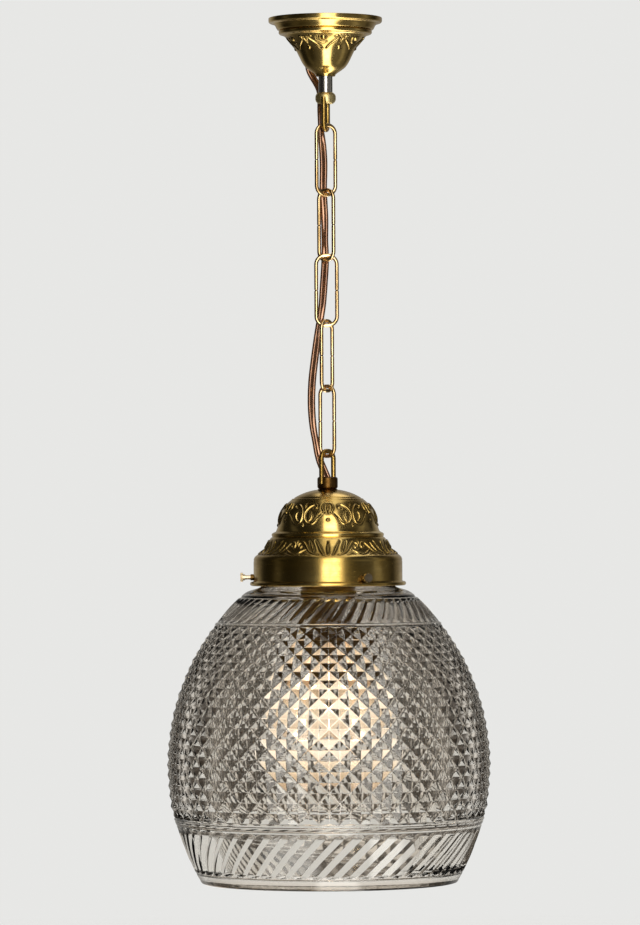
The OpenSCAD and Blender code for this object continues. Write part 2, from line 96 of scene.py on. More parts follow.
class Signal:
    # a node's output, so that sums on it are written as plain Python
    def __init__(self, finish, socket):
        self.finish = finish
        self.socket = socket

    def __add__(self, other):
        return self.finish.maths("ADD", self, other)

    def __radd__(self, other):
        return self.finish.maths("ADD", other, self)

    def __sub__(self, other):
        return self.finish.maths("SUBTRACT", self, other)

    def __rsub__(self, other):
        return self.finish.maths("SUBTRACT", other, self)

    def __mul__(self, other):
        return self.finish.maths("MULTIPLY", self, other)

    def __rmul__(self, other):
        return self.finish.maths("MULTIPLY", other, self)

    def __pow__(self, other):
        return self.finish.maths("POWER", self, other)

    def __abs__(self):
        return self.finish.maths("ABSOLUTE", self)

    def clamped(self):
        return self.finish.maths("ADD", self, clamp=True)

    def above(self, low, high):
        # 0 below low, 1 above high
        return ((self - low) * (1 / (high - low))).clamped()


class Finish:
    # a material or a world, with its nodes and the coordinates that its patterns are laid out on
    def __init__(self, owner, coordinates="Object"):
        self.owner = owner
        owner.use_nodes = True
        self.nodes = owner.node_tree.nodes
        self.links = owner.node_tree.links
        self.shader = self.nodes.get("Principled BSDF")
        self.place = self.node("TexCoord", output=coordinates)

    def node(self, kind, settings=None, values=None, output=0):
        made = self.nodes.new("ShaderNode" + kind)
        for key, value in (settings or {}).items():
            if key == "stops":
                self.setStops(made.color_ramp, value)
            else:
                setattr(made, key, value)
        for key, value in (values or {}).items():
            self.plug(made.inputs[key], value)
        return Signal(self, made.outputs[output])

    def setStops(self, ramp, stops):
        while len(ramp.elements) < len(stops):
            ramp.elements.new(1.0)
        for element, (place, colour) in zip(ramp.elements, stops):
            element.position = place
            element.color = (*colour, 1)

    def plug(self, socket, value):
        if isinstance(value, Signal):
            self.links.new(value.socket, socket)
        elif socket.type == "RGBA":
            socket.default_value = (*value, 1)
        else:
            socket.default_value = value

    def surface(self, **values):
        for key, value in values.items():
            self.plug(self.shader.inputs[sockets[key]], value)

    def maths(self, operation, first, second=0.0, clamp=False):
        return self.node("Math", {"operation": operation, "use_clamp": clamp}, {0: first, 1: second})

    def along(self, axis):
        return self.node("SeparateXYZ", values={0: self.place}, output=axis)

    def noise(self, scale, detail=4.0, roughness=0.6):
        return self.node("TexNoise", values={"Vector": self.place, "Scale": scale, "Detail": detail,
                                             "Roughness": roughness})

    def streaks(self, scales, detail, roughness):
        # noise with its own scale along each axis
        place = self.node("VectorMath", {"operation": "MULTIPLY"}, {0: self.place, 1: scales})
        return self.node("TexNoise", values={"Vector": place, "Scale": 1.0, "Detail": detail,
                                             "Roughness": roughness})

    def mixed(self, factor, first, second):
        # the sockets of a Mix node that take and give colours have these numbers
        return self.node("Mix", {"data_type": "RGBA"}, {0: factor, 6: first, 7: second}, output=2)

    def ramp(self, factor, stops):
        return self.node("ValToRGB", {"stops": stops}, {0: factor})

    def painted(self, name):
        return self.node("Attribute", {"attribute_name": name}, output="Fac")

    def bumped(self, height, distance, strength):
        return self.node("Bump", values={"Height": height, "Distance": distance, "Strength": strength})


sockets = {
    "colour": "Base Color", "metal": "Metallic", "rough": "Roughness", "normal": "Normal", "ior": "IOR",
    "glass": "Transmission Weight", "coat": "Coat Weight", "coatRough": "Coat Roughness",
    "specular": "Specular IOR Level", "glow": "Emission Color", "glowStrength": "Emission Strength",
}


def newFinish(name):
    return Finish(bpy.data.materials.new(name))


# Finishes: each has its colours and scales in a dictionary, and a scale is the noise's waves in a metre

brassColours = {
    "polished": (0.78, 0.565, 0.20),
    "mellow": (0.54, 0.355, 0.090),
    "tarnish": (0.150, 0.086, 0.022),
    "recess": (0.034, 0.020, 0.008),
}
brassGrain = {
    "fineScale": 420,
    "latheLines": (14, 14, 900),  # long round the axis and close together along it
    "bump": 0.06 * mm,
}


def brassFinish(name, dull, rough, lines, tone=(1, 1, 1), cloudScale=38):
    # aged brass: lathe lines round the lamp's axis, cloudy tarnish, dark recesses in the ornament
    look = newFinish(name)
    toned = {part: tuple(a * b for a, b in zip(colour, tone)) for part, colour in brassColours.items()}
    cloud = look.noise(cloudScale, 6.0, 0.62)
    fine = look.noise(brassGrain["fineScale"])
    grain = look.streaks(brassGrain["latheLines"], 3.0, 0.7)
    recess = look.painted("recess")
    tarnish = (cloud.above(0.42, 0.72) * dull + fine.above(0.5, 0.85) * (0.35 * dull)).clamped()
    warm = look.mixed(cloud.above(0.3, 0.6), toned["polished"], toned["mellow"])
    aged = look.mixed(tarnish, warm, toned["tarnish"])
    streaked = look.mixed((grain.above(0.35, 0.75) * (0.22 * lines)).clamped(), aged, toned["tarnish"])
    colour = look.mixed((recess * (0.75 + fine * 0.3)).clamped(), streaked, toned["recess"])
    spread = tarnish * 0.28 + recess * 0.25 + grain.above(0.3, 0.8) * (0.1 * lines) + rough
    normal = look.bumped(grain * lines + fine * 0.35 + cloud * 0.3, brassGrain["bump"], 0.55)
    look.surface(colour=colour, metal=1.0, rough=spread, normal=normal)
    return look.owner


chainLook = {
    "polished": (0.88, 0.67, 0.38),
    "mellow": (0.72, 0.49, 0.22),
    "tarnish": (0.20, 0.11, 0.045),
    "joint": (0.05, 0.028, 0.012),
    "jointHalf": 0.22 * mm,  # half the height of the brazed joint in each leg
    "jointFade": 0.20 * mm,
    "cloudScale": 70,
    "drawnLines": (1400, 1400, 60),  # fine lines along the wire
    "bump": 0.04 * mm,
    "rough": 0.20,
}


def chainBrassFinish():
    # drawn brass wire, paler than the pressed sheet, with a dark line at each brazed joint
    look = newFinish("chainBrass")
    cloud = look.noise(chainLook["cloudScale"], 4.0, 0.55)
    drawn = look.streaks(chainLook["drawnLines"], 2.0, 0.5)
    tarnish = (cloud.above(0.52, 0.75) * 0.45 + drawn.above(0.6, 0.85) * 0.12).clamped()
    warm = look.mixed(cloud.above(0.3, 0.65), chainLook["polished"], chainLook["mellow"])
    height = look.along("Z")
    jointEnd = chainLook["jointHalf"] + chainLook["jointFade"]
    joints = 0.0
    for link in ("link_1", "link_2", "link_3", "link_4", "link_5"):
        low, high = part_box(link)
        away = abs(height - (low.z + high.z) / 2)
        joints = (1 - away.above(chainLook["jointHalf"], jointEnd)) + joints
    worn = look.mixed(tarnish, warm, chainLook["tarnish"])
    colour = look.mixed(joints.clamped(), worn, chainLook["joint"])
    normal = look.bumped(cloud + drawn * 0.05, chainLook["bump"], 0.25)
    look.surface(colour=colour, metal=1.0, rough=chainLook["rough"] + tarnish * 0.25, normal=normal)
    return look.owner


steelLook = {
    "rust": (0.16, 0.075, 0.035),
    "patch": 0.72,  # brightness of the darker patches
    "cloudScale": 150,
    "fineScale": 1200,
    "bump": 0.05 * mm,
}


def steelFinish(name, tone, rough, rust):
    look = newFinish(name)
    cloud = look.noise(steelLook["cloudScale"], 5.0)
    fine = look.noise(steelLook["fineScale"], 3.0)
    spots = (cloud.above(0.55, 0.75) * rust).clamped()
    plain = look.mixed(cloud.above(0.35, 0.7), tone, tuple(steelLook["patch"] * c for c in tone))
    colour = look.mixed(spots, plain, steelLook["rust"])
    normal = look.bumped(fine * 0.6 + cloud, steelLook["bump"], 0.5)
    look.surface(colour=colour, metal=1.0, rough=rough + spots * 0.4 + fine * 0.08, normal=normal)
    return look.owner


flexLook = {
    "colours": [(0.3, (0.150, 0.060, 0.026)), (0.55, (0.250, 0.115, 0.054)), (0.8, (0.390, 0.205, 0.115))],
    "cloudScale": 90,
    "fineScale": 1500,
    "bump": 0.05 * mm,
    "metal": 0.82,
    "rough": 0.17,
}


def flexFinish():
    # brown plastic, a little clear, so it takes copper-coloured lights from the wire within
    look = newFinish("brownFlex")
    cloud = look.noise(flexLook["cloudScale"])
    fine = look.noise(flexLook["fineScale"], 2.0, 0.5)
    colour = look.ramp(cloud, flexLook["colours"])
    normal = look.bumped(cloud * 0.8 + fine * 0.08, flexLook["bump"], 0.25)
    look.surface(colour=colour, metal=flexLook["metal"], rough=flexLook["rough"] + fine * 0.06, coat=1.0,
                 coatRough=0.08, specular=0.8, normal=normal)
    return look.owner


ceramicLook = {
    "colours": [(0.3, (0.70, 0.64, 0.52)), (0.7, (0.80, 0.76, 0.66))],
    "speck": (0.30, 0.22, 0.14),
    "cloudScale": 60,
    "speckScale": 900,
    "bump": 0.1 * mm,
}


def ceramicFinish():
    look = newFinish("creamCeramic")
    cloud = look.noise(ceramicLook["cloudScale"])
    specks = look.noise(ceramicLook["speckScale"], 2.0, 0.5)
    glaze = look.ramp(cloud, ceramicLook["colours"])
    colour = look.mixed(specks.above(0.66, 0.74) * 0.5, glaze, ceramicLook["speck"])
    look.surface(colour=colour, rough=0.25 + cloud * 0.15, coat=0.4, coatRough=0.1,
                 normal=look.bumped(cloud, ceramicLook["bump"], 0.4))
    return look.owner


rubberLook = {
    "colours": [(0.3, (0.012, 0.010, 0.009)), (0.75, (0.040, 0.034, 0.030))],
    "cloudScale": 200,
    "bump": 0.1 * mm,
}


def rubberFinish():
    look = newFinish("blackBush")
    cloud = look.noise(rubberLook["cloudScale"])
    look.surface(colour=look.ramp(cloud, rubberLook["colours"]), rough=0.5 + cloud * 0.2,
                 normal=look.bumped(cloud, rubberLook["bump"], 0.5))
    return look.owner


glassLook = {
    "clear": (0.99, 0.965, 0.925),
    "warm": (0.965, 0.925, 0.865),
    "waveScale": 22,
    "hazeScale": 14,
    "rubLines": (60, 60, 420),
    "ior": 1.52,
    "rough": 0.004,
    "bump": 0.6 * mm,
}


def cutGlassFinish():
    # clear old glass, faintly warm, with slow waves and a few fine rubs
    look = newFinish("cutGlass")
    waves = look.noise(glassLook["waveScale"], 3.0, 0.5)
    rubs = look.streaks(glassLook["rubLines"], 3.0, 0.7)
    haze = look.noise(glassLook["hazeScale"])
    colour = look.mixed(haze.above(0.3, 0.7), glassLook["clear"], glassLook["warm"])
    look.surface(colour=colour, glass=1.0, ior=glassLook["ior"],
                 rough=glassLook["rough"] + rubs.above(0.62, 0.8) * 0.05,
                 normal=look.bumped(waves + rubs * 0.08, glassLook["bump"], 0.25))
    return look.owner


lampLook = {
    "glass": (0.93, 0.85, 0.74),
    "glow": [(0.10, (1.0, 0.95, 0.87)), (0.32, (0.62, 0.53, 0.41)), (0.60, (0.32, 0.21, 0.12)),
             (1.0, (0.10, 0.05, 0.03))],
    "glowStrength": 0.28,
    "middle": -168 * mm,  # height of the brightest place, under the gallery's top
    "upward": 85 * mm,  # how far the glow reaches from there
    "downward": 46 * mm,
    "cloudScale": 45,
    "filament": (0.5, 0.42, 0.3),
    "darkFilament": (0.3, 0.25, 0.2),
    "filamentGlow": (1.0, 0.86, 0.64),
    "filamentStrength": 30.0,
    "insulator": [(0.35, (0.010, 0.010, 0.014)), (0.7, (0.030, 0.028, 0.034))],
    "fineScale": 300,
}


def lampGlassFinish():
    # the lit bulb: lightly frosted, so that the filament shows as a soft hot spot
    look = newFinish("lampGlass")
    height = look.along("Z")
    middle = headZ + lampLook["middle"]
    over = (height - middle) * (1 / lampLook["upward"])
    under = (middle - height) * (1 / lampLook["downward"])
    away = look.maths("MAXIMUM", over, under)
    cloud = look.noise(lampLook["cloudScale"], 3.0, 0.5)
    glow = look.ramp((away + cloud * 0.12).clamped(), lampLook["glow"])
    look.surface(colour=lampLook["glass"], glass=1.0, ior=1.5, rough=0.18 + cloud * 0.06, glow=glow,
                 glowStrength=lampLook["glowStrength"])
    look.owner.cycles.emission_sampling = "NONE"
    return look.owner


def filamentFinish():
    look = newFinish("filamentWire")
    cloud = look.noise(lampLook["fineScale"], 2.0, 0.5)
    colour = look.mixed(cloud, lampLook["filament"], lampLook["darkFilament"])
    look.surface(colour=colour, metal=1.0, rough=0.4, glow=lampLook["filamentGlow"],
                 glowStrength=lampLook["filamentStrength"])
    look.owner.cycles.emission_sampling = "FRONT"
    return look.owner


def insulatorFinish():
    look = newFinish("blackGlass")
    cloud = look.noise(lampLook["fineScale"])
    look.surface(colour=look.ramp(cloud, lampLook["insulator"]), rough=0.08 + cloud * 0.12, coat=0.6,
                 coatRough=0.04)
    return look.owner


finishes = {
    "canopy_brass": brassFinish("canopyBrass", dull=0.42, rough=0.16, lines=0.35),
    "gallery_brass": brassFinish("galleryBrass", dull=0.30, rough=0.15, lines=0.75),
    "chain_brass": chainBrassFinish(),
    "cast_brass": brassFinish("castBrass", dull=0.60, rough=0.27, lines=0.25, tone=(0.72, 0.68, 0.62),
                              cloudScale=110),
    # the lamp holder's brass is toned down to a deep brown: painted shade, as it sits in the shadow inside
    # the gallery and the glass neck
    "holder_brass": brassFinish("holderBrassPaintedShade", dull=0.65, rough=0.28, lines=0.6, tone=(0.22, 0.18, 0.16),
                                cloudScale=70),
    "zinc_steel": steelFinish("zincSteel", (0.60, 0.58, 0.54), 0.34, rust=0.35),
    "bright_steel": steelFinish("brightSteel", (0.66, 0.63, 0.58), 0.20, rust=0.1),
    "brown_flex": flexFinish(),
    "black_bush": rubberFinish(),
    "cream_ceramic": ceramicFinish(),
    "cut_glass": cutGlassFinish(),
    "lamp_glass": lampGlassFinish(),
    "black_glass": insulatorFinish(),
    "filament_wire": filamentFinish(),
}
nodeSlots = {entry["node"]: entry["material_slot"] for entry in frame["record"]["subparts"]}
ownFinishes = {
    "thumb_screw": brassFinish("screwBrass", dull=0.25, rough=0.22, lines=0.2, tone=(0.78, 0.92, 2.1),
                               cloudScale=160),
    # the lower boss is a much darker copy of the same cast brass: partly oxide, partly painted shade where it
    # hangs in shadow above the gallery
    "lower_boss": brassFinish("bronzeOxideAndPaintedShade", dull=0.5, rough=0.30, lines=0.2, tone=(0.24, 0.18, 0.16),
                              cloudScale=120),
    "upper_boss": brassFinish("paleBrass", dull=0.12, rough=0.42, lines=0.2, tone=(1.2, 1.4, 2.2),
                              cloudScale=140),
}


def dressNodes():
    for name, node in cadNodes.items():
        own = [finish for start, finish in ownFinishes.items() if name.startswith(start)]
        finish = own[0] if own else finishes[nodeSlots[name]]
        node.data.materials.clear()
        node.data.materials.append(finish)
    print("finishes made and put on the", len(cadNodes), "nodes")


def dress(piece, slotName):
    piece.data.materials.clear()
    piece.data.materials.append(finishes[slotName])


# Flex: a flat twin flex, its flat side turned as it goes, in stretches that each run past one joint of the
# chain

flex = {
    "width": 5.6 * mm,
    "thickness": 2.8 * mm,
    "web": 0.75 * mm,  # half the thickness between the two cores
    "coreArc": 122,  # degrees of a core's outside, to each side of the flex's edge
    "corePoints": 11,
    "steps": 4,  # steps between two points of the route
    "bendReach": 13 * mm,  # how far above and below a hook the flex bends
    "sharpAngle": 60,
}
# picked along the flex in the photo: x, y and z in metres, and the degrees its flat side is turned
flexRoute = [
    (-0.0122, 0.0115, -0.0120, 0), (-0.0122, 0.0115, -0.0150, 6), (-0.0119, 0.0113, -0.0180, 16),
    (-0.0113, 0.0112, -0.0215, 30), (-0.0112, 0.0119, -0.0252, 40), (-0.0118, 0.0132, -0.0290, 42),
    (-0.0121, 0.0147, -0.0330, 42), (-0.0110, 0.0157, -0.0372, 40), (-0.0088, 0.0159, -0.0414, 34),
    (-0.0062, 0.0150, -0.0458, 30), (-0.0042, 0.0132, -0.0502, 26), (-0.0034, 0.0112, -0.0546, 24),
    (-0.0033, 0.0095, -0.0592, 28), (-0.0035, 0.0078, -0.0640, 38), (-0.0036, 0.0060, -0.0690, 52),
    (-0.0036, 0.0046, -0.0740, 60), (-0.0034, 0.0038, -0.0796, 56), (-0.0028, 0.0040, -0.0860, 34),
    (-0.0021, 0.0044, -0.0940, 10), (-0.0017, 0.0050, -0.1030, 0), (-0.0018, 0.0058, -0.1115, -8),
    (-0.0020, 0.0067, -0.1190, -16), (-0.0019, 0.0072, -0.12585, -22), (-0.0015, 0.0071, -0.1330, -24),
    (-0.0011, 0.0068, -0.1415, -26), (-0.0010, 0.0066, -0.1500, -34), (-0.0010, 0.0065, -0.1580, -44),
    (-0.0009, 0.0066, -0.1655, -30), (-0.0009, 0.0064, -0.17245, -12), (-0.0012, 0.0056, -0.1790, 0),
    (-0.0018, 0.0046, -0.1875, 0), (-0.0024, 0.0041, -0.1960, 10), (-0.0031, 0.0040, -0.2045, 24),
    (-0.0042, 0.0043, -0.2125, 34), (-0.0054, 0.0045, -0.21905, 34), (-0.0065, 0.0044, -0.2265, 24),
    (-0.0078, 0.0039, -0.2360, 10), (-0.0092, 0.0032, -0.2465, 0), (-0.0104, 0.0025, -0.2565, 0),
    (-0.0110, 0.0018, -0.26565, 6), (-0.0112, 0.0012, -0.2745, 14), (-0.0108, 0.0008, -0.2840, 24),
    (-0.0098, 0.0005, -0.2935, 34), (-0.0083, 0.0002, -0.3020, 38), (-0.0072, 0, -0.3085, 34),
    (-0.0063, 0, -0.31225, 26), (-0.0052, 0, -0.3160, 14), (-0.0036, 0, -0.3200, 4),
    (-0.0019, 0, -0.3240, 0), (-0.0005, 0, -0.3278, 0), (0, 0, -0.3315, 0), (0, 0, -0.3360, 0),
    (0, 0, -0.3500, 0), (0, 0, -0.3640, 0), (0, 0, -0.3780, 0), (0, 0, -0.3900, 0), (0, 0, -0.3999, 0),
]
# name, node it stands for, the two bodies it joins, first and last point, the route's point at its bend
flexStretches = [
    ("flexInCanopy", "flex_tail", "ceiling_fixing", "canopy", 0, 5, 2),
    ("flexFromBush", "flex_top", "canopy", "ceiling_fixing", 5, 13, 9),
    ("flexAtHook1", "flex_link_1", "ceiling_fixing", "link_1", 13, 19, 16),
    ("flexAtHook2", "flex_link_2", "link_1", "link_2", 19, 25, 22),
    ("flexAtHook3", "flex_link_3", "link_2", "link_3", 25, 31, 28),
    ("flexAtHook4", "flex_link_4", "link_3", "link_4", 31, 37, 34),
    ("flexAtHook5", "flex_link_5", "link_4", "link_5", 37, 42, 39),
    ("flexAtHook6", "flex_bottom", "link_5", "lamp_head", 42, 56, 45),
]


def unit(vectors):
    return vectors / np.linalg.norm(vectors, axis=1)[:, None]


def lengthAlong(points):
    # the length of the line up to each of its points
    return np.concatenate([[0], np.cumsum(np.linalg.norm(np.diff(points, axis=0), axis=1))])


def smoothLine(points, steps):
    # a smooth curve through hand-placed points, with this many steps from one to the next
    p = np.array(points, float)
    line = []
    for i in range(len(p) - 1):
        a, b, c, d = p[max(i - 1, 0)], p[i], p[i + 1], p[min(i + 2, len(p) - 1)]
        for t in np.arange(steps) / steps:
            line.append((2 * b + (c - a) * t + (2 * a - 5 * b + 4 * c - d) * t ** 2
                         + (3 * b - a - 3 * c + d) * t ** 3) / 2)
    return np.array(line + [p[-1]])


def meshPiece(name, points, faces):
    mesh = bpy.data.meshes.new(name)
    mesh.from_pydata([tuple(p) for p in points], [], faces)
    mesh.update()
    piece = bpy.data.objects.new(name, mesh)
    bpy.context.scene.collection.objects.link(piece)
    return piece


def pickOnly(piece):
    bpy.ops.object.select_all(action="DESELECT")
    bpy.context.view_layer.objects.active = piece
    piece.select_set(True)


def shadeSmooth(piece, sharpAngle):
    pickOnly(piece)
    bpy.ops.object.shade_smooth_by_angle(angle=math.radians(sharpAngle))


def twinSection():
    # across the flex: two round cores with a thinner web between them
    core = flex["thickness"] / 2
    half = flex["width"] / 2 - core
    turns = np.radians(np.linspace(-flex["coreArc"], flex["coreArc"], flex["corePoints"]))
    right = [(half + core * math.cos(a), core * math.sin(a)) for a in turns]
    left = [(-x, -y) for x, y in right]
    return np.array(right + [(0, flex["web"])] + left + [(0, -flex["web"])])


def sweepFlex(name, line, first, last):
    # the section carried along the line from one point to another, with a cap at each end
    section = twinSection()
    way = unit(np.gradient(line[:, :3], axis=0))
    turn = np.radians(line[:, 3])
    face = np.stack([np.cos(turn), np.sin(turn), 0 * turn], 1)
    wide = unit(face - (face * way).sum(1)[:, None] * way)
    thin = np.cross(way, wide)
    rings = [line[i, :3] + section[:, :1] * wide[i] + section[:, 1:] * thin[i]
             for i in range(first, last + 1)]
    sides = len(section)
    faces = []
    for below in range(0, (last - first) * sides, sides):
        above = below + sides
        for side in range(sides):
            after = (side + 1) % sides
            faces.append((below + side, below + after, above + after, above + side))
    faces.append(tuple(range(sides))[::-1])
    faces.append(tuple((last - first) * sides + side for side in range(sides)))
    piece = meshPiece(name, np.concatenate(rings), faces)
    shadeSmooth(piece, flex["sharpAngle"])
    return piece


def makeFlex():
    line = smoothLine(flexRoute, flex["steps"])
    for name, node, upper, lower, first, last, bend in flexStretches:
        start, end = first * flex["steps"], last * flex["steps"]
        piece = sweepFlex(name, line, start, end)
        dress(piece, "brown_flex")
        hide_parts(node)
        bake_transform(piece)
    print("flex made in", len(flexStretches), "stretches")


makeFlex()
dressNodes()

# Turned pieces: a circle pulled out ring by ring, then each ring put in its place

firstTube = {
    "radius": 50 * mm,  # any size does, since placeRings moves each point
    "ringStep": mm,
}
mergeDistance = 0.001 * mm


def pullTube(name, sides, rings):
    bpy.ops.object.select_all(action="DESELECT")
    bpy.ops.mesh.primitive_circle_add(vertices=sides, radius=firstTube["radius"], location=(0, 0, 0))
    tube = bpy.context.object
    tube.name = name
    tube.data.name = name
    bpy.ops.object.mode_set(mode="EDIT")
    bpy.ops.mesh.select_all(action="SELECT")
    for _ in range(rings - 1):
        bpy.ops.mesh.extrude_region_move(TRANSFORM_OT_translate={"value": (0, 0, firstTube["ringStep"])})
    bpy.ops.object.mode_set(mode="OBJECT")
    return tube


def readPoints(piece):
    points = np.zeros(len(piece.data.vertices) * 3)
    piece.data.vertices.foreach_get("co", points)
    return points.reshape(-1, 3)


def writePoints(piece, points):
    piece.data.vertices.foreach_set("co", points.astype(float).ravel())
    piece.data.update()


def placeRings(tube, sides, radii, heights, turns=None):
    # heights and turns are one per ring, and radii too or a table of ring by side
    points = readPoints(tube)
    ring = np.rint(points[:, 2] / firstTube["ringStep"]).astype(int)
    side = np.rint(np.arctan2(points[:, 1], points[:, 0]) / (2 * math.pi / sides)).astype(int) % sides
    radii = np.asarray(radii, float)
    radius = radii[ring, side] if radii.ndim == 2 else radii[ring]
    turn = side * 2 * math.pi / sides
    if turns is not None:
        turn = turns[ring] + turn
    writePoints(tube, np.stack([radius * np.cos(turn), radius * np.sin(turn), np.asarray(heights)[ring]], 1))


def closeUp(piece):
    pickOnly(piece)
    bpy.ops.object.mode_set(mode="EDIT")
    bpy.ops.mesh.select_all(action="SELECT")
    bpy.ops.mesh.remove_doubles(threshold=mergeDistance)
    bpy.ops.mesh.normals_make_consistent(inside=False)
    bpy.ops.object.mode_set(mode="OBJECT")


def turnOutline(name, outline, sides):
    # an open outline of radius and height, turned round the lamp's axis
    tube = pullTube(name, sides, len(outline))
    radii, heights = zip(*outline)
    placeRings(tube, sides, radii, heights)
    return tube


def turnPiece(name, outline, sides):
    # a closed outline, turned, with its two ends merged
    tube = turnOutline(name, outline + [outline[0]], sides)
    closeUp(tube)
    return tube


def arcPoints(x, z, radius, start, end, steps):
    return [(x + radius * math.cos(a), z + radius * math.sin(a))
            for a in np.radians(np.linspace(start, end, steps + 1))]


def metres(outline, top=0.0):
    # from millimetres, with the heights measured from a top
    return [(x * mm, top + z * mm) for x, z in outline]


def resampled(outline, pitch):
    # the same outline with its points an even pitch apart
    p = np.array(outline, float)
    along = lengthAlong(p)
    steps = np.linspace(0, along[-1], max(2, int(round(along[-1] / pitch)) + 1))
    return [(float(np.interp(s, along, p[:, 0])), float(np.interp(s, along, p[:, 1]))) for s in steps]


# Ornament: strokes raised in the sheet, drawn in millimetres on the flattened wall. A stroke has points and
# a width, and may have a height, a taper (its swelling at the start, middle and end), and no mirrored twin.

ornament = {
    "repeats": 6,  # times round the lamp
    "steps": 5,  # between two points of a stroke
    "pitch": 0.25,  # of the dabs that a stroke is raised with
    "spread": 0.56,  # half a dab's width, as a part of the stroke's
    "taper": (0.35, 1.0, 0.35),
    "roundness": 1.2,
    "groundReach": 0.9,  # how far beside a stroke the sheet is sunk
    "groundEnds": 1.6,  # how soon it is level again, going up a stroke
    "tarnishReach": 2.6,  # how far beside it the sheet is darker
    "tarnishEnds": 1.4,
    "tarnishShares": (0.35, 0.65),  # that far round a stroke, and close by it
    "edgeFade": 0.8,
    "edgeTarnish": 1.5,  # how much sooner than the relief it starts at the edge
    "sheetDepth": 0.25 * mm,  # less than the wall, so that its inside stays plain
}


def strokeSamples(stroke):
    # the dabs of a stroke, with their half widths and heights
    points = np.array(stroke["points"], float)
    along = np.array([0.5])
    if len(points) > 2:
        points = smoothLine(points, ornament["steps"])
    if len(points) > 1:
        points = np.array(resampled(points, ornament["pitch"]))
        along = np.linspace(0, 1, len(points))
    swell = np.interp(along, [0, 0.5, 1], stroke.get("taper", ornament["taper"]))
    return points, stroke["width"] * ornament["spread"] * swell, stroke.get("height", 1.0) * np.sqrt(swell)


def strokeField(strokes, x, y, squeeze):
    # how high each place is raised, and how near it is to a stroke: close by, and farther round
    raised, near, around = np.zeros((3, len(x)))
    for stroke in strokes:
        line, halfWidths, tops = strokeSamples(stroke)
        for flip in ((1, -1) if stroke.get("mirror", True) else (1,)):
            for (px, py), half, top in zip(line, halfWidths, tops):
                distance = np.hypot((x - flip * px) * squeeze, y - py)
                dab = np.clip(1 - (distance / half) ** 2, 0, 1) ** ornament["roundness"]
                raised = np.maximum(raised, top * dab)
                near = np.maximum(near, np.clip(1 - (distance - half) / ornament["groundReach"], 0, 1))
                around = np.maximum(around, np.clip(1 - (distance - half) / ornament["tarnishReach"], 0, 1))
    return raised, near, around


def raiseOrnament(piece, strokes, wall, meanRadius, sizes, turn=0.0):
    # wall: height, radius and length along the decorated wall; sizes: the piece's own relief and ground
    points = readPoints(piece)
    radius = np.hypot(points[:, 0], points[:, 1])
    heights, radii, along = wall
    zone = (points[:, 2] > heights.min()) & (points[:, 2] < heights.max())
    zone &= radius > np.interp(points[:, 2], heights, radii) - ornament["sheetDepth"]
    index = np.nonzero(zone)[0]
    sector = 360 / ornament["repeats"]
    azimuth = np.degrees(np.arctan2(points[index, 0], -points[index, 1]))
    x = (azimuth - turn + sector / 2) % sector - sector / 2
    x = np.radians(x) * meanRadius / mm
    y = np.interp(points[index, 2], heights, along) / mm
    raised, near, around = strokeField(strokes, x, y, radius[index] / meanRadius)
    normals = np.zeros(len(piece.data.vertices) * 3)
    piece.data.vertices.foreach_get("normal", normals)
    normals = normals.reshape(-1, 3)[index]
    edge = np.clip(np.minimum(y - along.min() / mm, along.max() / mm - y) / ornament["edgeFade"], 0, 1)
    sunk = sizes["ground"] * near * (1 - np.clip(raised * ornament["groundEnds"], 0, 1)) * edge
    points[index] += normals * ((sizes["relief"] * raised * edge - sunk)[:, None])
    writePoints(piece, points)
    # the finish reads this attribute to darken the sheet round the strokes
    attribute = piece.data.attributes.get("recess") or piece.data.attributes.new("recess", "FLOAT", "POINT")
    recess = np.zeros(len(points))
    attribute.data.foreach_get("value", recess)
    far, close = ornament["tarnishShares"]
    tarnish = (far * around + close * near) * (1 - np.clip(raised * ornament["tarnishEnds"], 0, 1))
    tarnish *= np.clip(edge * ornament["edgeTarnish"], 0, 1)
    recess[index] = np.maximum(recess[index], tarnish)
    attribute.data.foreach_set("value", recess.astype(np.float32))


def wallTable(outline, low, high):
    # height, radius and length along, for the part of an outer wall between two heights
    p = np.array(outline, float)
    p = p[np.argsort(p[:, 1], kind="stable")]
    p = p[(p[:, 1] >= low) & (p[:, 1] <= high)]
    return p[:, 1], p[:, 0], lengthAlong(p)


# Canopy: pressed brass cup with a bead and scrolls, from its neck up to the rolled rim

canopy = {
    "sides": 480,
    "wall": 1.0 * mm,
    "finePitch": 0.42 * mm,
    "ornamentLow": -24.0 * mm,
    "ornamentHigh": -12.6 * mm,
    "ornamentRadius": 25.5 * mm,
    "ornamentTurn": -3.0,  # degrees, so that a bead is just left of the front
    "relief": 0.7 * mm,
    "ground": 0.18 * mm,
    "insideFrom": (0, 6, 14, 22, 30, 36, -9, -1),  # the points of the outside that the inside follows
    "insideShift": (-1.15, 0.5),  # from them, in thicknesses of the wall
    "sharpAngle": 70,
}
canopyStrokes = [
    {"points": [(0, 9.9)], "width": 3.9, "height": 1.6, "mirror": False},
    {"points": arcPoints(0, 9.9, 4.3, 165, 300, 12), "width": 1.4, "mirror": False, "taper": (0.7, 1, 0.5)},
    {"points": [(1.9, 0.9), (4.0, 3.3), (6.6, 5.6), (9.3, 7.9), (10.7, 10.2), (9.8, 11.9), (8.5, 11.2)],
     "width": 1.35, "taper": (0.6, 1.0, 0.6)},
    {"points": [(13.35, 1.8)], "width": 2.9, "height": 1.15},
    {"points": [(12.4, 12.2), (11.9, 10.0), (12.7, 7.8), (13.35, 5.6), (13.35, 3.4)], "width": 1.2},
]


